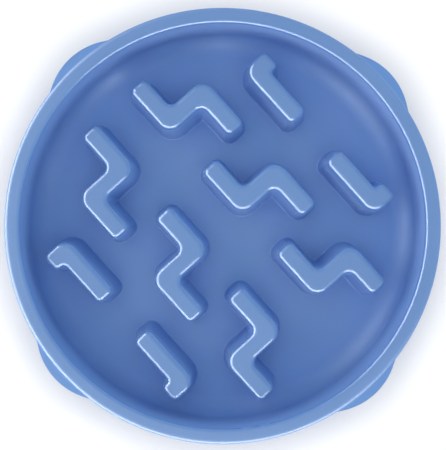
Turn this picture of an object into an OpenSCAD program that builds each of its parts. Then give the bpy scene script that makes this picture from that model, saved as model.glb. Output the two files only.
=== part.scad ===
// Slow feeder bowl: one moulded bowl with a maze of zigzag ridges, on four push-in rubber feet.
// The origin is on the ground under the centre of the rim, with +Z up.
// The ridges run along X and Y, and the four foot lobes point along +X, +Y, -X and -Y.

/* [Bowl] */
// Outer diameter of the rim
rim_d = 240; // [225:1:290]
// Height of the rim above the ground
bowl_h = 50; // [47:1:60]
// Depth from the top of the rim down to the floor
bowl_depth = 34; // [30:1:37]
// Width of the band on top, from the outer edge of the rim to the inner one
rim_w = 8.5; // [7:0.5:11]
// Radius that rounds the outer edge of the rim
rim_outer_round = 2.4; // [1:0.1:3.5]
// Radius that rounds the inner edge of the rim
rim_inner_round = 1.8; // [0.8:0.1:3]
// Thickness of the moulded wall
wall = 2.5; // [2:0.1:2.8]
// Radius of the cove that joins the bowl's wall to its floor
cove_r = 11; // [6:0.5:14]
// Lean of the bowl's wall and of the outer skirt, in degrees
draft = 1.5; // [0.5:0.5:3]
// Gap between the ground and the lower edge of the skirt
skirt_lift = 1.2; // [0.8:0.1:2]

/* [Foot lobes] */
// Distance that a lobe stands out beyond the rim
lobe_out = 6.5; // [4:0.5:12]
// Radius of a lobe's rounded end, seen from above
lobe_end_r = 38; // [30:1:45]
// Height from the rim's outer rounding down to where a lobe's top starts
lobe_drop = 0.5; // [0.3:0.1:2]
// Slope of a lobe's top, in degrees
lobe_slope = 35; // [25:1:45]
// Radius that rounds the outer edge of a lobe
lobe_edge_r = 2.4; // [1:0.1:3]

/* [Maze ridges] */
// Height of the ridges above the floor
ridge_h = 27; // [18:1:29]
// Width of a ridge at the top of its walls
ridge_w = 11.2; // [10:0.1:13]
// Lean of the ridge walls, in degrees
ridge_draft = 6; // [3:0.5:7]
// Radius that rounds the upper edge of a ridge
ridge_edge_r = 3; // [1:0.1:3.2]
// Size of the sloped fillet where a ridge stands on the floor
ridge_root = 1.4; // [0.6:0.1:2]
// Radius of the outer corner of a bend, seen from above
bend_outer_r = 8; // [4:0.1:9]
// Radius of the inner corner of a bend, seen from above
bend_inner_r = 4.4; // [1.5:0.1:5]
// Radius of the two corners at a ridge's end, seen from above
end_r = 3.4; // [3:0.1:3.8]

/* [Maze layout] */
// Distance from one zigzag ridge to the next along X
zigzag_pitch = 60.6; // [60:0.1:66]
// Distance along Y from the middle line of the maze to the near arm of a zigzag
near_arm_y = 18.5; // [15:0.1:22]
// Distance along Y from the near arm of a zigzag to its far arm
arm_spacing = 24.7; // [22:0.1:27]
// Distance along Y from the middle line of the maze to a hooked ridge
hook_arm_y = 73.4; // [71:0.1:78]
// Distance along X between the facing ends of two hooked ridges
hook_gap = 28.4; // [20:0.1:40]
// Length of a hooked ridge along X
hook_l = 40.6; // [34:0.1:44]
// Length that the hook stands out from its ridge
hook_out = 5.6; // [4.2:0.1:7]
// Offset of the maze's middle line from the centre of the bowl along Y
maze_y = -1.4; // [-4:0.1:4]

/* [Rubber feet] */
// Diameter of the head that stands on the ground
foot_d = 17; // [14:0.5:18]
// Thickness of the head
foot_h = 3; // [2.5:0.1:4]
// Diameter of the stem that is pushed into the bowl
stem_d = 8; // [6:0.5:9]
// Length of the stem
stem_l = 8; // [5:0.5:9]
// Radius that rounds the lower edge of the head
foot_round = 0.8; // [0.3:0.1:1.2]
// Depth of the grip groove in the underside of the head
groove_depth = 0.6; // [0.3:0.1:1]
// Width of the grip groove
groove_w = 1.4; // [0.8:0.1:2]

/* [Fits] */
// Clearance round the stem of a foot in its socket
stem_fit = 0.1; // [0:0.05:0.3]
// Space left over the tip of the stem
stem_tip_gap = 0.5; // [0.3:0.1:1.5]
// Gap between a foot's boss and the inside of its lobe
boss_gap = 2; // [1:0.5:4]
// Thickness of the rib that ties a boss to its lobe
rib_t = 2; // [1.5:0.1:3]

/* [Hidden] */
$fn = 96;
// Overrun that carries a cut clear through a face
over = 1;
// Points along a rounded corner of a ridge, seen from above
corner_steps = 4;
// Least radius that a corner keeps where a wall's lean would close it
least_corner_r = 0.3;
// Steps in the rounded upper edge of a ridge
edge_steps = 3;

rim_r = rim_d / 2;
inner_edge_r = rim_r - rim_w;
floor_z = bowl_h - bowl_depth;
ridge_top = floor_z + ridge_h;
rim_edge_x = rim_r - rim_outer_round;
rim_edge_z = bowl_h - rim_outer_round;
hollow_top = bowl_h - rim_w / 2;
cove_x = inner_edge_r - (bowl_depth - cove_r + cove_r * sin(draft)) * tan(draft) - cove_r * cos(draft);
cove_z = floor_z + cove_r;
lobe_reach = rim_r + lobe_out;
lobe_x = lobe_reach - lobe_end_r;
slope_start_z = rim_edge_z - lobe_drop;
slope_start_x = drafted(rim_r, rim_edge_z, slope_start_z) - lobe_x;
lobe_edge_x = lobe_end_r - lobe_edge_r;
lobe_edge_z = slope_z(lobe_edge_x + lobe_edge_r * sin(lobe_slope)) - lobe_edge_r * cos(lobe_slope);
lobe_angles = [0, 90, 180, 270];
boss_r = stem_d / 2 + stem_fit + wall;
foot_place = lobe_reach - wall - boss_gap - foot_d / 2;
boss_top = floor_z + cove_r / 2;
boss_rib_start = cove_x + sqrt(pow(cove_r + wall / 2, 2) - pow(cove_z - boss_top, 2));
// Zigzags: side of the middle line, then start, crossbar and end along X as shares of the pitch
zigzag_shares = [
    [1, -1.5, -1.044, -0.576],
    [1, -0.5, -0.041, 0.424],
    [1, 0.521, 0.99, 1.401],
    [-1, -1.485, -1.008, -0.564],
    [-1, -0.465, 0, 0.469],
    [-1, 0.531, 1.015, 1.442]
];
// Pairs of hooked ridges: side of the middle line, then the pair's middle as a share of the pitch
hook_pair_shares = [[1, -0.038], [-1, 0.008]];
plastic = [0.43, 0.58, 0.80];
rubber = [0.16, 0.17, 0.19];

// Radius at one height of a drafted wall that has radius r at another
function drafted(r, at_z, z) = r + (at_z - z) * tan(draft);

// Height of a lobe's sloping top at a distance from the lobe's own centre, and the reverse
function slope_z(x) = slope_start_z - (x - slope_start_x) * tan(lobe_slope);
function slope_x(z) = slope_start_x + (slope_start_z - z) / tan(lobe_slope);

// The numbers from a to b, and a ring's numbers from one start all the way round
function span(a, b) = b < a ? [] : [for (i = [a : b]) i];
function turned(start, n) = concat(span(start, n - 1), span(0, start - 1));

// Closed solid through rings of equal length, listed from the bottom up.
// Each cap is cut into fans, and a fan's first point sees all its others.
module loft(rings, fans) {
    n = len(rings[0]);
    top = (len(rings) - 1) * n;
    polyhedron(
        points = [for (ring = rings) each ring],
        faces = concat(
            fans,
            [
                for (k = [0 : len(rings) - 2], i = [0 : n - 1])
                    let (a = k * n, j = (i + 1) % n)
                    [a + i, a + n + i, a + n + j, a + j]
            ],
            [for (fan = fans) [for (i = [len(fan) : -1 : 1]) top + fan[i % len(fan)]]]
        )
    );
}

// Half section of the rim and the outer skirt: a drafted wall under a rounded edge
module skirt_section() {
    polygon([
        [0, skirt_lift],
        [drafted(rim_r, rim_edge_z, skirt_lift), skirt_lift],
        [rim_r, rim_edge_z],
        [rim_edge_x, bowl_h],
        [0, bowl_h]
    ]);
    translate([rim_edge_x, rim_edge_z]) circle(r = rim_outer_round);
}

// Half section of a lobe about its own centre: a drafted wall, a rounded edge and a sloping top
// that runs on for half a wall thickness inside the skirt
module lobe_section() {
    edge_top_x = lobe_edge_x + lobe_edge_r * sin(lobe_slope);
    slope_top_x = slope_start_x - wall / 2;
    polygon([
        [0, skirt_lift],
        [drafted(lobe_end_r, lobe_edge_z, skirt_lift), skirt_lift],
        [lobe_end_r, lobe_edge_z],
        [edge_top_x, slope_z(edge_top_x)],
        [slope_top_x, slope_z(slope_top_x)],
        [0, slope_z(slope_top_x)]
    ]);
    translate([lobe_edge_x, lobe_edge_z]) circle(r = lobe_edge_r);
}

// Half section of the hollow behind the skirt, one wall thickness in
module skirt_hollow_section() {
    polygon([
        [0, skirt_lift - over],
        [drafted(rim_r, rim_edge_z, skirt_lift - over) - wall, skirt_lift - over],
        [drafted(rim_r, rim_edge_z, hollow_top) - wall, hollow_top],
        [0, hollow_top]
    ]);
}

// Half section of the hollow in a lobe, one wall thickness in and under the sloping top
module lobe_hollow_section() {
    drop = wall / cos(lobe_slope);
    polygon([
        [0, skirt_lift - over],
        [drafted(lobe_end_r, lobe_edge_z, skirt_lift - over) - wall, skirt_lift - over],
        [lobe_end_r - wall, slope_z(lobe_end_r - wall) - drop],
        [slope_x(hollow_top + drop), hollow_top],
        [0, hollow_top]
    ]);
}

// The outer form of the bowl as one solid: the turned skirt and rim, and four turned lobes
module outer_form() {
    rotate_extrude() skirt_section();
    for (a = lobe_angles)
        rotate([0, 0, a])
            translate([lobe_x, 0, 0])
                rotate_extrude() lobe_section();
}

// Everything inside that form's wall, up to the underside of the rim
module inner_form() {
    rotate_extrude() skirt_hollow_section();
    for (a = lobe_angles)
        rotate([0, 0, a])
            translate([lobe_x, 0, 0])
                rotate_extrude() lobe_hollow_section();
}

// Section of everything inside the dish's surface, grown outward by a wall thickness
module dish_section(grow) {
    lean_x = cos(draft) * (cove_r + grow);
    lean_z = sin(draft) * (cove_r + grow);
    top_z = bowl_h + over;
    top_x = cove_x + lean_x + (top_z - cove_z + lean_z) * tan(draft);
    translate([cove_x, cove_z]) circle(r = cove_r + grow);
    polygon([
        [0, floor_z - grow],
        [cove_x, floor_z - grow],
        [cove_x, cove_z],
        [cove_x + lean_x, cove_z - lean_z],
        [top_x, top_z],
        [0, top_z]
    ]);
}

// Ring cut that rounds the inner edge of the rim
module inner_edge_cut() {
    rotate_extrude()
        difference() {
            translate([inner_edge_r - over, bowl_h - rim_inner_round])
                square([rim_inner_round + over, rim_inner_round + over]);
            translate([inner_edge_r + rim_inner_round, bowl_h - rim_inner_round])
                circle(r = rim_inner_round);
        }
}

// Half of a dish section, turned about the centre line
module dish(grow) {
    rotate_extrude()
        intersection() {
            dish_section(grow);
            square([rim_r, bowl_h + 2 * over]);
        }
}

// Shell of the bowl: the outer form less the dish above and the hollow below.
// The hollow leaves the foot bosses standing, so a boss never reaches into the dish.
module shell() {
    difference() {
        outer_form();
        dish(0);
        inner_edge_cut();
        difference() {
            inner_form();
            dish(wall);
            for (a = lobe_angles)
                rotate([0, 0, a]) foot_boss();
        }
    }
}

// Rounded outline from a list of square corners [x, y, radius], counter-clockwise, at an inset.
// Each corner moves with its two sides, and every level of a ridge has matching points.
function outline(corners, inset, z) = [
    for (i = [0 : len(corners) - 1])
        let (
            n = len(corners),
            p = corners[i],
            before = corners[(i + n - 1) % n],
            after = corners[(i + 1) % n],
            in_dir = unit([p.x - before.x, p.y - before.y]),
            out_dir = unit([after.x - p.x, after.y - p.y]),
            turn = sign(in_dir.x * out_dir.y - in_dir.y * out_dir.x),
            shift = inset * [-in_dir.y - out_dir.y, in_dir.x + out_dir.x],
            r = max(least_corner_r, p[2] - turn * inset),
            centre = [p.x, p.y] + shift + r * (out_dir - in_dir)
        )
        for (k = [0 : corner_steps])
            let (
                a = 90 * k / corner_steps,
                q = centre + r * (in_dir * sin(a) - out_dir * cos(a))
            )
            [q.x, q.y, z]
];

function unit(v) = v / norm(v);

// Corners of a zigzag on the +Y side: near arm, crossbar and far arm
function zigzag_corners(start, bar, end) =
    let (
        half = ridge_w / 2,
        near = near_arm_y,
        far = near_arm_y + arm_spacing
    )
    [
        [start, near - half, end_r],
        [bar + half, near - half, bend_outer_r],
        [bar + half, far - half, bend_inner_r],
        [end, far - half, end_r],
        [end, far + half, end_r],
        [bar - half, far + half, bend_outer_r],
        [bar - half, near + half, bend_inner_r],
        [start, near + half, end_r]
    ];

// Cap of a zigzag: two fans that meet across the crossbar, each from the outer corner of a bend
zigzag_fans = [
    concat(span(middle_point(1), first_point(2)), span(first_point(6), first_point(8) - 1),
        span(0, middle_point(1) - 1)),
    concat(span(middle_point(5), first_point(6)), span(first_point(2), middle_point(5) - 1))
];

// First and middle point of a corner in an outline
function first_point(corner) = corner * (corner_steps + 1);
function middle_point(corner) = first_point(corner) + corner_steps / 2;

// Cap of a hooked ridge: one fan from the outer corner of its bend
hook_fans = [turned(middle_point(1), first_point(6))];

// Corners of a hooked ridge: one arm with a short hook at its far end
function hook_corners() =
    let (
        half = ridge_w / 2,
        start = hook_gap / 2,
        end = start + hook_l
    )
    [
        [start, hook_arm_y - half, end_r],
        [end, hook_arm_y - half, bend_outer_r],
        [end, hook_arm_y + half + hook_out, end_r],
        [end - ridge_w, hook_arm_y + half + hook_out, end_r],
        [end - ridge_w, hook_arm_y + half, min(bend_inner_r, hook_out - end_r)],
        [start, hook_arm_y + half, end_r]
    ];

// How far a drafted ridge wall stands out below the top of that wall
function spread(z) = (ridge_top - ridge_edge_r - z) * tan(ridge_draft);

// Outside of a ridge, from inside the floor up over its sloped root to its rounded edge
module ridge_form(corners, fans) {
    foot_z = floor_z - wall / 2;
    root_z = floor_z + ridge_root;
    edge_z = ridge_top - ridge_edge_r;
    rings = concat(
        [
            outline(corners, -spread(root_z) - (root_z - foot_z), foot_z),
            outline(corners, -spread(root_z), root_z)
        ],
        [
            for (k = [0 : edge_steps])
                let (a = 90 * k / edge_steps)
                outline(corners, ridge_edge_r * (1 - cos(a)), edge_z + ridge_edge_r * sin(a))
        ]
    );
    loft(rings, fans);
}

// Core that hollows a ridge from below and leaves the wall all round
module ridge_core(corners, fans) {
    levels = [floor_z - wall - over, ridge_top - wall];
    loft([for (z = levels) outline(corners, wall - spread(z), z)], fans);
}

// Places the six zigzags and the four hooked ridges, as outsides or as cores.
// Those on the -Y side are the same ridges mirrored.
module maze(as_core) {
    translate([0, maze_y, 0]) {
        for (row = zigzag_shares)
            mirror([0, row[0] < 0 ? 1 : 0, 0])
                ridge(
                    zigzag_corners(row[1] * zigzag_pitch, row[2] * zigzag_pitch, row[3] * zigzag_pitch),
                    zigzag_fans,
                    as_core
                );
        for (pair = hook_pair_shares, end = [0, 1])
            translate([pair[1] * zigzag_pitch, 0, 0])
                mirror([end, 0, 0])
                    mirror([0, pair[0] < 0 ? 1 : 0, 0])
                        ridge(hook_corners(), hook_fans, as_core);
    }
}

module ridge(corners, fans, as_core) {
    if (as_core)
        ridge_core(corners, fans);
    else
        ridge_form(corners, fans);
}

// Boss for the stem of a foot, on a rib that ties it to the dish and to the lobe
module foot_boss() {
    translate([foot_place, 0, foot_h])
        cylinder(h = boss_top - foot_h, r = boss_r);
    translate([boss_rib_start, -rib_t / 2, foot_h])
        cube([lobe_reach - wall / 2 - boss_rib_start, rib_t, boss_top - foot_h]);
}

// Blind hole that takes the stem
module foot_socket() {
    translate([foot_place, 0, foot_h - over])
        cylinder(h = stem_l + stem_tip_gap + over, d = stem_d + 2 * stem_fit);
}

module bowl() {
    color(plastic)
        difference() {
            union() {
                shell();
                maze(false);
            }
            maze(true);
            for (a = lobe_angles)
                rotate([0, 0, a]) foot_socket();
        }
}

// Half section of a rubber foot: a rounded head with a grip groove, and a stem with a blunt tip
module foot_section() {
    groove_r = foot_d / 4 + stem_d / 8;
    difference() {
        union() {
            translate([0, foot_round]) square([foot_d / 2, foot_h - foot_round]);
            square([foot_d / 2 - foot_round, foot_h]);
            translate([foot_d / 2 - foot_round, foot_round]) circle(r = foot_round);
        }
        translate([groove_r - groove_w / 2, -over]) square([groove_w, groove_depth + over]);
    }
    polygon([
        [0, foot_h - foot_round],
        [stem_d / 2, foot_h - foot_round],
        [stem_d / 2, foot_h + stem_l - foot_round],
        [stem_d / 2 - foot_round, foot_h + stem_l],
        [0, foot_h + stem_l]
    ]);
}

module foot(angle) {
    color(rubber)
        rotate([0, 0, angle])
            translate([foot_place, 0, 0])
                rotate_extrude()
                    foot_section();
}

bowl();
foot(lobe_angles[0]);  // foot_x_plus
foot(lobe_angles[1]);  // foot_y_plus
foot(lobe_angles[2]);  // foot_x_minus
foot(lobe_angles[3]);  // foot_y_minus
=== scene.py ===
import math

import bmesh
import bpy
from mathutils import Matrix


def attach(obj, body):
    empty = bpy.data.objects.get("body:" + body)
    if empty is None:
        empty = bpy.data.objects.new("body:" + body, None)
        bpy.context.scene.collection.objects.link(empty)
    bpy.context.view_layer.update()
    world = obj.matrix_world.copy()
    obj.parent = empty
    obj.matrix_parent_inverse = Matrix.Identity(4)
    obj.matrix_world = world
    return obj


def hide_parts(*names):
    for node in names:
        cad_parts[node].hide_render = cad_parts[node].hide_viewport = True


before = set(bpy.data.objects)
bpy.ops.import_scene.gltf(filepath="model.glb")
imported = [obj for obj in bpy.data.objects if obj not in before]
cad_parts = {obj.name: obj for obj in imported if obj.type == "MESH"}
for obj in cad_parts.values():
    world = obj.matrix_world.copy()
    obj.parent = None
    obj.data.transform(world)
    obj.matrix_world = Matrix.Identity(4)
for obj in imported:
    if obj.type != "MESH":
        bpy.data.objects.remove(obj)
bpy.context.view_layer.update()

bpy.ops.object.select_all(action="DESELECT")


# Camera: straight over the middle of the bowl, a little under half a metre above the ground,
# turned so that the maze runs down to the right.
camera = bpy.data.objects.new("camera", bpy.data.cameras.new("camera"))
bpy.context.collection.objects.link(camera)
camera.location = (0, 0, 0.470)
camera.rotation_euler = (0, 0, math.radians(48))
camera.data.sensor_width = 36
camera.data.lens = 61.42
camera.data.shift_x = 0.0009
camera.data.shift_y = 0.0024
camera.data.clip_start = 0.01
bpy.context.scene.camera = camera
bpy.context.scene.view_settings.view_transform = "Standard"


# Bowl shell: one wall of injection-moulded plastic that runs from the floor up the dish, over the
# rim and down the outer skirt, hollow underneath. Four lobes swell out of the rim over the feet.
rim_r = 0.120
rim_top = 0.050
rim_outer_round = 0.0024
rim_inner_round = 0.0018
inner_edge_r = 0.1115
floor_z = 0.016
wall = 0.0025
cove_r = 0.011
draft_degrees = 1.5
draft = math.radians(draft_degrees)
skirt_lift = 0.0012
skirt_edge_round = 0.0006
hollow_top = 0.04575
turns = 400
crowding = 0.6
same_place = 0.000005

lobe_reach = 0.1265
lobe_end_r = 0.038
lobe_drop = 0.0005
lobe_slope = math.radians(35)
lobe_edge_r = 0.0024
no_lobe_above = rim_top - 0.0009
fillet_least = 0.0008
fillet_growth = 0.0024
fillet_grows_below = 0.0485
fillet_growth_run = 0.004

cove_z = floor_z + cove_r
wall_lean = (rim_top - cove_z + cove_r * math.sin(draft)) * math.tan(draft)
cove_x = inner_edge_r - wall_lean - cove_r * math.cos(draft)
rim_edge_z = rim_top - rim_outer_round
skirt_edge_z = skirt_lift + skirt_edge_round

lobe_x = lobe_reach - lobe_end_r
slope_x = rim_r - lobe_x
slope_z = rim_edge_z - lobe_drop
slope_end_x = lobe_end_r - lobe_edge_r * (1 - math.sin(lobe_slope))
slope_end_z = slope_z - (slope_end_x - slope_x) * math.tan(lobe_slope)
lobe_edge_z = slope_end_z - lobe_edge_r * math.cos(lobe_slope)


def arc(x, z, r, start, end, steps):
    """Points of an arc in a half section; angles in degrees, 0 outward and 90 up."""
    angles = [math.radians(start + (end - start) * k / steps) for k in range(steps + 1)]
    return [(x + r * math.cos(a), z + r * math.sin(a)) for a in angles]


def skirt_r(z):
    """Radius of the plain outer skirt at a height."""
    if z <= rim_edge_z:
        return rim_r + (rim_edge_z - z) * math.tan(draft)
    return rim_r - rim_outer_round + math.sqrt(max(0, rim_outer_round ** 2 - (z - rim_edge_z) ** 2))


def dish_back_r(z):
    """Radius of the dish's wall at a height, on the side of the hollow."""
    return cove_x + (cove_r + wall) * math.cos(draft) + (z - cove_z) * math.tan(draft)


def lobe_own_r(z, inset):
    """Radius of a lobe about its own centre at a height, for the outer skin or the hollow."""
    plain = lobe_end_r + (lobe_edge_z - z) * math.tan(draft) - inset
    if inset:
        return min(plain, slope_x + (slope_z - z - inset / math.cos(lobe_slope)) / math.tan(lobe_slope))
    if z <= lobe_edge_z:
        return plain
    if z < slope_end_z:
        return lobe_end_r - lobe_edge_r + math.sqrt(lobe_edge_r ** 2 - (z - lobe_edge_z) ** 2)
    return slope_x + (slope_z - z) / math.tan(lobe_slope)


def grown_r(plain_r, z, inset, angle):
    """Skirt radius with the lobes added, blended by a small fillet where they meet."""
    own_r = lobe_own_r(z, inset)
    aside = lobe_x * math.sin(angle)
    if z > no_lobe_above or abs(aside) >= own_r or math.cos(angle) < 0:
        return plain_r
    out_r = lobe_x * math.cos(angle) + math.sqrt(own_r ** 2 - aside ** 2)
    fillet = fillet_least + fillet_growth * min(1, max(0, (fillet_grows_below - z) / fillet_growth_run))
    close = max(0, 1 - abs(out_r - plain_r) / fillet)
    return max(out_r, plain_r) + close ** 2 * fillet / 4


def turned(name, section, steps, closed):
    """A half section of (radius, height) points, spun round the Z axis; closed fills its open middle."""
    mesh = bpy.data.meshes.new(name)
    edges = [(i, i + 1) for i in range(len(section) - 1)]
    mesh.from_pydata([(x, 0, z) for x, z in section], edges, [])
    piece = bpy.data.objects.new(name, mesh)
    bpy.context.collection.objects.link(piece)
    bpy.ops.object.select_all(action="DESELECT")
    bpy.context.view_layer.objects.active = piece
    piece.select_set(True)
    bpy.ops.object.mode_set(mode="EDIT")
    bpy.ops.mesh.select_all(action="SELECT")
    bpy.ops.mesh.spin(steps=steps, angle=2 * math.pi, center=(0, 0, 0), axis=(0, 0, 1))
    bpy.ops.mesh.select_all(action="SELECT")
    bpy.ops.mesh.remove_doubles(threshold=same_place)
    if closed:
        bpy.ops.mesh.select_all(action="DESELECT")
        bpy.ops.mesh.select_mode(type="EDGE")
        bpy.ops.mesh.select_non_manifold(extend=False, use_wire=False, use_multi_face=False,
                                         use_non_contiguous=False, use_verts=False)
        bpy.ops.mesh.edge_face_add()
        bpy.ops.mesh.select_mode(type="VERT")
    bpy.ops.mesh.select_all(action="SELECT")
    bpy.ops.mesh.normals_make_consistent(inside=False)
    bpy.ops.object.mode_set(mode="OBJECT")
    return piece


# The skirt's levels lie close together where the lobes slope away, and further apart below.
lobe_level_step = 0.00035
hollow_level_step = 0.0006
lower_levels = [0.038, 0.033, 0.025, 0.012]
outer_levels = [rim_edge_z - lobe_level_step * k for k in range(1, 18)] + [0.0405] + lower_levels
hollow_levels = lower_levels[::-1] + [hollow_top - hollow_level_step * k for k in range(8, -1, -1)]
rim_inner_x = inner_edge_r + rim_inner_round
skirt_outer_x = skirt_r(skirt_edge_z) - skirt_edge_round
skirt_inner_x = skirt_r(skirt_edge_z) - wall + skirt_edge_round
section = (
    arc(cove_x, cove_z, cove_r, -90, -draft_degrees, steps=18)
    + arc(rim_inner_x, rim_top - rim_inner_round, rim_inner_round, 180 - draft_degrees, 90, steps=8)
    + arc(rim_r - rim_outer_round, rim_edge_z, rim_outer_round, 90, 0, steps=10)
    + [(skirt_r(z), z) for z in outer_levels]
    + arc(skirt_outer_x, skirt_edge_z, skirt_edge_round, 0, -90, steps=4)
    + arc(skirt_inner_x, skirt_edge_z, skirt_edge_round, -90, -180, steps=4)
    + [(skirt_r(z) - wall, z) for z in hollow_levels]
    + [(dish_back_r(hollow_top), hollow_top)]
    + arc(cove_x, cove_z, cove_r + wall, -draft_degrees, -90, steps=14)
)
bowl = turned("blue_bowl", section, steps=turns, closed=True)

# The spun vertices are crowded towards the lobes, and those of the skirt are moved out to them.
skirt_zone_r = rim_r - 0.0035
for vertex in bowl.data.vertices:
    x, y, z = vertex.co
    r = math.hypot(x, y)
    angle = math.atan2(y, x)
    angle -= crowding / 4 * math.sin(4 * angle)
    if r > skirt_zone_r:
        from_lobe = angle - math.pi / 2 * round(angle / (math.pi / 2))
        outer, inner = skirt_r(z), skirt_r(z) - wall
        share = min(1, max(0, (outer - r) / wall))
        r += (1 - share) * (grown_r(outer, z, 0, from_lobe) - outer)
        r += share * (grown_r(inner, z, wall, from_lobe) - inner)
    vertex.co.x, vertex.co.y = r * math.cos(angle), r * math.sin(angle)


# Maze ridges: six zigzags and four hooked ridges, moulded in one with the floor and hollow from
# below. Their walls lean, their upper edges are rounded, and a fillet runs round each foot.
ridge_top = 0.043
ridge_w = 0.0112
ridge_draft = math.radians(6)
ridge_edge_r = 0.003
root_r = 0.0009
bend_outer_r = 0.008
bend_inner_r = 0.0044
end_r = 0.0034
zigzag_pitch = 0.0606
near_arm_y = 0.0185
arm_spacing = 0.0247
hook_arm_y = 0.0734
hook_gap = 0.0284
hook_l = 0.0406
hook_out = 0.0056
maze_y = -0.0014
least_corner_r = 0.0003
corner_steps = 10
core_overrun = 0.001

# Each zigzag: side of the maze, then the places of its start, bar and end, in pitches along X.
zigzag_shares = [
    (1, -1.5, -1.044, -0.576),
    (1, -0.5, -0.041, 0.424),
    (1, 0.521, 0.99, 1.401),
    (-1, -1.485, -1.008, -0.564),
    (-1, -0.465, 0, 0.469),
    (-1, 0.531, 1.015, 1.442),
]
# Each pair of hooked ridges: side of the maze, then the middle of the gap between them.
hook_pair_shares = [(1, -0.038), (-1, 0.008)]


def zigzag_corners(start, bar, end):
    """Corners of a zigzag's outline, each with the radius that rounds it."""
    half = ridge_w / 2
    near = near_arm_y
    far = near_arm_y + arm_spacing
    return [
        (start, near - half, end_r),
        (bar + half, near - half, bend_outer_r),
        (bar + half, far - half, bend_inner_r),
        (end, far - half, end_r),
        (end, far + half, end_r),
        (bar - half, far + half, bend_outer_r),
        (bar - half, near + half, bend_inner_r),
        (start, near + half, end_r),
    ]


def hook_corners():
    """Corners of a hooked ridge's outline, each with the radius that rounds it."""
    half = ridge_w / 2
    start = hook_gap / 2
    end = start + hook_l
    return [
        (start, hook_arm_y - half, end_r),
        (end, hook_arm_y - half, bend_outer_r),
        (end, hook_arm_y + half + hook_out, end_r),
        (end - ridge_w, hook_arm_y + half + hook_out, end_r),
        (end - ridge_w, hook_arm_y + half, min(bend_inner_r, hook_out - end_r)),
        (start, hook_arm_y + half, end_r),
    ]


def outline(corners, inset):
    """Rounded outline at an inset, as (x, y) points, counter-clockwise."""
    points = []
    for i, (px, py, radius) in enumerate(corners):
        bx, by, _ = corners[i - 1]
        ax, ay, _ = corners[(i + 1) % len(corners)]
        in_l, out_l = math.hypot(px - bx, py - by), math.hypot(ax - px, ay - py)
        ix, iy = (px - bx) / in_l, (py - by) / in_l
        ox, oy = (ax - px) / out_l, (ay - py) / out_l
        turn = 1 if ix * oy - iy * ox > 0 else -1
        r = max(least_corner_r, radius - turn * inset)
        cx = px + inset * (-iy - oy) + r * (ox - ix)
        cy = py + inset * (ix + ox) + r * (oy - iy)
        for k in range(corner_steps + 1):
            a = math.pi / 2 * k / corner_steps
            points.append((cx + r * (ix * math.sin(a) - ox * math.cos(a)),
                           cy + r * (iy * math.sin(a) - oy * math.cos(a))))
    return points


maze = []
for side, start, bar, end in zigzag_shares:
    corners = zigzag_corners(start * zigzag_pitch, bar * zigzag_pitch, end * zigzag_pitch)
    maze.append((corners, 1, side, 0))
for side, middle in hook_pair_shares:
    for way in (1, -1):
        maze.append((hook_corners(), way, side, middle * zigzag_pitch))

wall_top = ridge_top - ridge_edge_r


def spread(z):
    """How far a ridge's leaning wall stands out at a height, from where it is at its top."""
    return (wall_top - z) * math.tan(ridge_draft)


# Levels of the ridges from below the floor to their tops, and of the cores that hollow them.
root_steps = 6
edge_steps = 7
root_x = spread(floor_z + root_r) + root_r / math.cos(ridge_draft)
ridge_levels = [(-root_x, floor_z - wall / 2)]
for k in range(root_steps + 1):
    a = (math.pi / 2 - ridge_draft) * k / root_steps
    ridge_levels.append((-(root_x - root_r * math.sin(a)), floor_z + root_r * (1 - math.cos(a))))
for k in range(edge_steps + 1):
    a = ridge_draft + (math.pi / 2 - ridge_draft) * k / edge_steps
    ridge_levels.append((ridge_edge_r * (1 / math.cos(ridge_draft) - math.cos(a)),
                         wall_top + ridge_edge_r * math.sin(a)))
core_start_z = floor_z - wall - core_overrun
core_shoulder_z = ridge_top - wall - core_overrun
core_top_z = ridge_top - wall
core_levels = [(wall - spread(core_start_z), core_start_z),
               (wall - spread(core_shoulder_z), core_shoulder_z),
               (wall - spread(core_top_z) + core_overrun, core_top_z)]


def raised(name, levels):
    """All the ridges, or their cores, as one object: each outline is extruded from level to level."""
    mesh = bpy.data.meshes.new(name)
    piece = bpy.data.objects.new(name, mesh)
    bpy.context.collection.objects.link(piece)
    bm = bmesh.new()
    for corners, way, side, middle in maze:
        last = None
        for inset, z in levels:
            ring = [bm.verts.new((middle + way * x, maze_y + side * y, z))
                    for x, y in outline(corners, inset)]
            if last is None:
                bm.faces.new(ring)
            else:
                for i in range(len(ring)):
                    j = (i + 1) % len(ring)
                    bm.faces.new((last[i], last[j], ring[j], ring[i]))
            last = ring
        bm.faces.new(last)
    bmesh.ops.recalc_face_normals(bm, faces=bm.faces)
    bm.to_mesh(mesh)
    bm.free()
    return piece


ridges = raised("ridges", ridge_levels)
cores = raised("cores", core_levels)


# Foot bosses: a tubular boss under each lobe holds the stem of a rubber foot, on a rib that ties it
# to the dish and to the lobe. Both are part of the same moulding.
foot_place = 0.1135
boss_r = 0.0066
boss_top = 0.0215
foot_h = 0.003
stem_r = 0.004
stem_l = 0.008
stem_gap = 0.0005
stem_fit = 0.0001
rib_t = 0.002
rib_shorter = 0.001
rib_lower = 0.0003
socket_overrun = 0.001
rib_start = cove_x + math.sqrt((cove_r + wall / 2) ** 2 - (cove_z - boss_top) ** 2)
rib_end = lobe_reach - wall / 2


def combine(target, tool, operation):
    """Joins the tool to the target, or cuts it out of it, and removes the tool."""
    bpy.ops.object.select_all(action="DESELECT")
    bpy.context.view_layer.objects.active = target
    target.select_set(True)
    change = target.modifiers.new(operation, "BOOLEAN")
    change.operation = operation
    change.solver = "EXACT"
    change.object = tool
    bpy.ops.object.modifier_apply(modifier=change.name)
    bpy.data.objects.remove(tool, do_unlink=True)


def joined(pieces):
    """Several objects that don't touch, as one."""
    bpy.ops.object.select_all(action="DESELECT")
    for piece in pieces:
        piece.select_set(True)
    bpy.context.view_layer.objects.active = pieces[0]
    bpy.ops.object.join()
    return pieces[0]


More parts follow.
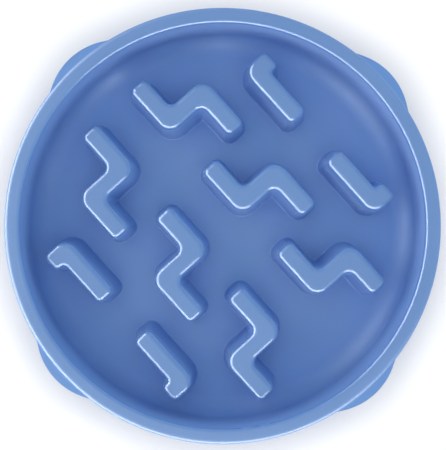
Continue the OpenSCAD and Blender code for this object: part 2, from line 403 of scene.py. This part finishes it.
bosses = []
sockets = []
boss_h = boss_top - foot_h
boss_mid_z = foot_h + boss_h / 2
socket_l = stem_l + stem_gap + socket_overrun
socket_mid_z = foot_h - socket_overrun + socket_l / 2
for quarter in range(4):
    a = math.pi / 2 * quarter
    ahead, across = math.cos(a), math.sin(a)
    foot_x, foot_y = foot_place * ahead, foot_place * across
    bpy.ops.mesh.primitive_cylinder_add(vertices=64, radius=boss_r, depth=boss_h,
                                        location=(foot_x, foot_y, boss_mid_z))
    boss = bpy.context.object
    rib_mid = (rib_start + rib_end) / 2
    bpy.ops.mesh.primitive_cube_add(size=1, rotation=(0, 0, a),
                                    location=(rib_mid * ahead, rib_mid * across, boss_mid_z - rib_lower),
                                    scale=(rib_end - rib_start, rib_t, boss_h - rib_shorter))
    combine(boss, bpy.context.object, "UNION")
    bosses.append(boss)
    bpy.ops.mesh.primitive_cylinder_add(vertices=64, radius=stem_r + stem_fit, depth=socket_l,
                                        location=(foot_x, foot_y, socket_mid_z))
    sockets.append(bpy.context.object)

# The shell, ridges and bosses become one moulding, and the cores and sockets are cut out of it.
dish_section = (
    [(0, floor_z - wall / 2)]
    + arc(cove_x, cove_z, cove_r + wall / 2, -90, 0, steps=24)
    + [(0, cove_z)]
)
bosses = joined(bosses)
combine(bosses, turned("dish_plug", dish_section, steps=128, closed=False), "DIFFERENCE")
combine(bowl, ridges, "UNION")
combine(bowl, bosses, "UNION")
combine(bowl, cores, "DIFFERENCE")
combine(bowl, joined(sockets), "DIFFERENCE")

# Slivers that the cuts left are merged away, and the shading follows the large faces.
bpy.ops.object.select_all(action="DESELECT")
bpy.context.view_layer.objects.active = bowl
bowl.select_set(True)
bpy.ops.object.mode_set(mode="EDIT")
bpy.ops.mesh.select_all(action="SELECT")
bpy.ops.mesh.remove_doubles(threshold=2 * same_place)
bpy.ops.mesh.dissolve_degenerate(threshold=2 * same_place)
bpy.ops.object.mode_set(mode="OBJECT")
bpy.ops.object.shade_smooth_by_angle(angle=math.radians(32))
steady = bowl.modifiers.new("steady", "WEIGHTED_NORMAL")
steady.mode = "FACE_AREA"
steady.keep_sharp = True
bpy.ops.object.modifier_apply(modifier=steady.name)


# Bowl plastic: satin blue with a very fine moulded grain and a slight unevenness in its gloss. It is
# polished along the rounded edges of the rim and ridges, and duller on the outer skin.
dark_blue = (0.144, 0.303, 0.652, 1)
light_blue = (0.151, 0.313, 0.668, 1)
inside_r = 0.106
outer_round_start_r = 0.1165
outer_round_end_r = 0.1175
outside_start_r = 0.1195
outside_end_r = 0.1205
outside_face_r = 0.1197
# Heights at which the polish starts, is full, starts to fade and has faded to that of the flat tops.
ridge_polish_z = (0.034, 0.040, 0.0427, 0.0429)
rim_polish_z = (0.0471, 0.0477, 0.0497, 0.0499)
flat_polish = 0.64
outer_round_polish = 0.45

plastic = bpy.data.materials.new("blue_plastic")
plastic.use_nodes = True
nodes, links = plastic.node_tree.nodes, plastic.node_tree.links
shader = nodes["Principled BSDF"]
shader.inputs["IOR"].default_value = 1.48
shader.inputs["Specular IOR Level"].default_value = 0.42
place = nodes.new("ShaderNodeTexCoord")

tint = nodes.new("ShaderNodeTexNoise")
tint.inputs["Scale"].default_value = 14
tint.inputs["Detail"].default_value = 3
ramp = nodes.new("ShaderNodeValToRGB")
ramp.color_ramp.elements[0].position = 0.3
ramp.color_ramp.elements[1].position = 0.7
ramp.color_ramp.elements[0].color = dark_blue
ramp.color_ramp.elements[1].color = light_blue
links.new(place.outputs["Object"], tint.inputs["Vector"])
links.new(tint.outputs["Fac"], ramp.inputs["Fac"])
links.new(ramp.outputs["Color"], shader.inputs["Base Color"])

grain = nodes.new("ShaderNodeTexNoise")
grain.inputs["Scale"].default_value = 1400
grain.inputs["Detail"].default_value = 2
bump = nodes.new("ShaderNodeBump")
bump.inputs["Strength"].default_value = 0.11
bump.inputs["Distance"].default_value = 0.0002
links.new(place.outputs["Object"], grain.inputs["Vector"])
links.new(grain.outputs["Fac"], bump.inputs["Height"])
links.new(bump.outputs["Normal"], shader.inputs["Normal"])

# Height and radius of a point say whether it lies on a rounded edge, a flat, or the outside.
apart = nodes.new("ShaderNodeSeparateXYZ")
flattened = nodes.new("ShaderNodeVectorMath")
flattened.operation = "MULTIPLY"
flattened.inputs[1].default_value = (1, 1, 0)
radius = nodes.new("ShaderNodeVectorMath")
radius.operation = "LENGTH"
links.new(place.outputs["Object"], apart.inputs["Vector"])
links.new(place.outputs["Object"], flattened.inputs[0])
links.new(flattened.outputs["Vector"], radius.inputs[0])

inside = nodes.new("ShaderNodeMath")
inside.operation = "LESS_THAN"
inside.inputs[1].default_value = inside_r
links.new(radius.outputs["Value"], inside.inputs[0])
outer_round = nodes.new("ShaderNodeMapRange")
outer_round.inputs["From Min"].default_value = outer_round_start_r
outer_round.inputs["From Max"].default_value = outer_round_end_r
outer_round.inputs["To Min"].default_value = 1
outer_round.inputs["To Max"].default_value = outer_round_polish
links.new(radius.outputs["Value"], outer_round.inputs["Value"])

polish = nodes.new("ShaderNodeMath")
polish.operation = "MAXIMUM"
polish_bands = ((ridge_polish_z, inside.outputs["Value"]), (rim_polish_z, outer_round.outputs["Result"]))
for band, ((below, start, edge, flat), strongest) in enumerate(polish_bands):
    rise = nodes.new("ShaderNodeMapRange")
    rise.inputs["From Min"].default_value = below
    rise.inputs["From Max"].default_value = start
    fall = nodes.new("ShaderNodeMapRange")
    fall.inputs["From Min"].default_value = edge
    fall.inputs["From Max"].default_value = flat
    fall.inputs["To Min"].default_value = 1
    fall.inputs["To Max"].default_value = flat_polish
    rounded = nodes.new("ShaderNodeMath")
    rounded.operation = "MULTIPLY"
    links.new(strongest, rise.inputs["To Max"])
    links.new(apart.outputs["Z"], rise.inputs["Value"])
    links.new(apart.outputs["Z"], fall.inputs["Value"])
    links.new(rise.outputs["Result"], rounded.inputs[0])
    links.new(fall.outputs["Result"], rounded.inputs[1])
    links.new(rounded.outputs["Value"], polish.inputs[band])

gloss = nodes.new("ShaderNodeMapRange")
gloss.inputs["From Min"].default_value = 0.3
gloss.inputs["From Max"].default_value = 0.7
for socket, matte, outside, polished in (("To Min", 0.56, 0.84, 0.24), ("To Max", 0.64, 0.90, 0.28)):
    outward = nodes.new("ShaderNodeMapRange")
    outward.inputs["From Min"].default_value = outside_start_r
    outward.inputs["From Max"].default_value = outside_end_r
    outward.inputs["To Min"].default_value = matte
    outward.inputs["To Max"].default_value = outside
    worn = nodes.new("ShaderNodeMapRange")
    worn.inputs["To Max"].default_value = polished
    links.new(radius.outputs["Value"], outward.inputs["Value"])
    links.new(outward.outputs["Result"], worn.inputs["To Min"])
    links.new(polish.outputs["Value"], worn.inputs["Value"])
    links.new(worn.outputs["Result"], gloss.inputs[socket])
links.new(tint.outputs["Fac"], gloss.inputs["Value"])
links.new(gloss.outputs["Result"], shader.inputs["Roughness"])

dull_plastic = plastic.copy()
dull_plastic.name = "blue_plastic_outside"
dull_plastic.node_tree.nodes["Principled BSDF"].inputs["Specular IOR Level"].default_value = 0.08
bowl.data.materials.clear()
bowl.data.materials.append(plastic)
bowl.data.materials.append(dull_plastic)
for face in bowl.data.polygons:
    if math.hypot(face.center.x, face.center.y) > outside_face_r:
        face.material_index = 1
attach(bowl, "root")
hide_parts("bowl")


# Rubber feet: four soft push-in feet, each with a round head on the ground, a grip groove in its
# underside and a stem that is pressed into its boss.
foot_r = 0.0085
foot_round = 0.0008
shoulder_round = 0.0003
groove_mid = foot_r / 2 + stem_r / 4
groove_half = 0.0007
groove_depth = 0.0006
stem_end_z = foot_h + stem_l
foot_section = (
    [(0, 0), (groove_mid - groove_half, 0), (groove_mid - groove_half, groove_depth),
     (groove_mid + groove_half, groove_depth), (groove_mid + groove_half, 0)]
    + arc(foot_r - foot_round, foot_round, foot_round, -90, 0, steps=6)
    + arc(foot_r - shoulder_round, foot_h - shoulder_round, shoulder_round, 0, 90, steps=3)
    + [(stem_r, foot_h), (stem_r, stem_end_z - foot_round)]
    + [(stem_r - foot_round, stem_end_z), (0, stem_end_z)]
)
foot = turned("rubber_foot", foot_section, steps=64, closed=False)
bpy.ops.object.shade_smooth_by_angle(angle=math.radians(35))

rubber = bpy.data.materials.new("foot_rubber")
rubber.use_nodes = True
nodes, links = rubber.node_tree.nodes, rubber.node_tree.links
shader = nodes["Principled BSDF"]
shader.inputs["Roughness"].default_value = 0.72
place = nodes.new("ShaderNodeTexCoord")
speck = nodes.new("ShaderNodeTexNoise")
speck.inputs["Scale"].default_value = 900
speck.inputs["Detail"].default_value = 4
shade = nodes.new("ShaderNodeValToRGB")
shade.color_ramp.elements[0].color = (0.020, 0.021, 0.024, 1)
shade.color_ramp.elements[1].color = (0.034, 0.036, 0.040, 1)
skin = nodes.new("ShaderNodeBump")
skin.inputs["Strength"].default_value = 0.25
skin.inputs["Distance"].default_value = 0.0002
links.new(place.outputs["Object"], speck.inputs["Vector"])
links.new(speck.outputs["Fac"], shade.inputs["Fac"])
links.new(shade.outputs["Color"], shader.inputs["Base Color"])
links.new(speck.outputs["Fac"], skin.inputs["Height"])
links.new(skin.outputs["Normal"], shader.inputs["Normal"])
foot.data.materials.append(rubber)

for quarter, node in enumerate(("foot_x_plus", "foot_y_plus", "foot_x_minus", "foot_y_minus")):
    a = math.pi / 2 * quarter
    piece = foot.copy()
    piece.data = foot.data.copy()
    piece.name = "rubber_" + node
    for vertex in piece.data.vertices:
        vertex.co.x += foot_place * math.cos(a)
        vertex.co.y += foot_place * math.sin(a)
    bpy.context.collection.objects.link(piece)
    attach(piece, "root")
    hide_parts(node)
bpy.data.objects.remove(foot, do_unlink=True)


# Table: a round white top. It glows pure white to the camera away from the bowl, and an occlusion mask
# takes that glow away close to the bowl, so a painted shadow deepens the bowl's real soft shadow there.
shadow_reach = 0.03
shadow_falloff = 4
table_glow = 0.39
bpy.ops.mesh.primitive_circle_add(vertices=128, radius=0.7, fill_type="NGON")
floor = bpy.context.object
floor.name = "floor"
white = bpy.data.materials.new("white_table")
white.use_nodes = True
nodes, links = white.node_tree.nodes, white.node_tree.links
shader = nodes["Principled BSDF"]
shader.inputs["Roughness"].default_value = 0.9
shader.inputs["Specular IOR Level"].default_value = 0.1
shader.inputs["Base Color"].default_value = (0.82, 0.82, 0.82, 1)
shader.inputs["Emission Color"].default_value = (1, 1, 1, 1)
seen = nodes.new("ShaderNodeLightPath")
# Painted shadow: ambient occlusion within a few centimetres of the bowl dims the camera-only glow,
# darkening the table close to it.
painted_shadow_mask = nodes.new("ShaderNodeAmbientOcclusion")
painted_shadow_mask.samples = 8
painted_shadow_mask.inputs["Distance"].default_value = shadow_reach
away = nodes.new("ShaderNodeMath")
away.operation = "POWER"
away.inputs[1].default_value = shadow_falloff
lift = nodes.new("ShaderNodeMath")
lift.operation = "MULTIPLY"
glow = nodes.new("ShaderNodeMath")
glow.operation = "MULTIPLY"
glow.inputs[1].default_value = table_glow
links.new(painted_shadow_mask.outputs["AO"], away.inputs[0])
links.new(away.outputs["Value"], lift.inputs[0])
links.new(seen.outputs["Is Camera Ray"], lift.inputs[1])
links.new(lift.outputs["Value"], glow.inputs[0])
links.new(glow.outputs["Value"], shader.inputs["Emission Strength"])
floor.data.materials.append(white)


# Light: a soft white surround that the camera sees as pure white, one large lamp overhead, six low
# fills all round, and a bent row of reflectors on the near side. The fills light without showing in
# the gloss, and the reflectors show in the gloss alone, as fine bright lines on the rounded edges.
surround_light = 0.42
surround = bpy.data.worlds.new("surround")
bpy.context.scene.world = surround
surround.use_nodes = True
nodes, links = surround.node_tree.nodes, surround.node_tree.links
backdrop = nodes["Background"]
backdrop.inputs["Color"].default_value = (1, 1, 1, 1)
seen = nodes.new("ShaderNodeLightPath")
brightness = nodes.new("ShaderNodeMapRange")
brightness.inputs["To Min"].default_value = surround_light
links.new(seen.outputs["Is Camera Ray"], brightness.inputs["Value"])
links.new(brightness.outputs["Result"], backdrop.inputs["Strength"])


def softbox(name, azimuth, elevation, distance, width, height, power):
    """A rectangular area lamp that faces the bowl; azimuth 0 is on the -Y side."""
    lamp = bpy.data.lights.new(name, "AREA")
    lamp.shape = "RECTANGLE"
    lamp.size = width
    lamp.size_y = height
    lamp.energy = power
    piece = bpy.data.objects.new(name, lamp)
    bpy.context.collection.objects.link(piece)
    a, e = math.radians(azimuth), math.radians(elevation)
    piece.location = (distance * math.sin(a) * math.cos(e), -distance * math.cos(a) * math.cos(e),
                      distance * math.sin(e))
    piece.rotation_euler = (math.pi / 2 - e, 0, a)
    return piece


for step in range(6):
    fill = softbox("fill", azimuth=60 * step, elevation=12, distance=1.2, width=0.9, height=0.5, power=2.8)
    fill.visible_glossy = False
for step in range(-3, 4):
    reflector = softbox("reflector", azimuth=25 * step, elevation=22, distance=0.9,
                        width=0.42, height=0.6, power=13)
    reflector.visible_diffuse = False
softbox("overhead", azimuth=0, elevation=90, distance=1.5, width=1.6, height=1.6, power=6.3)
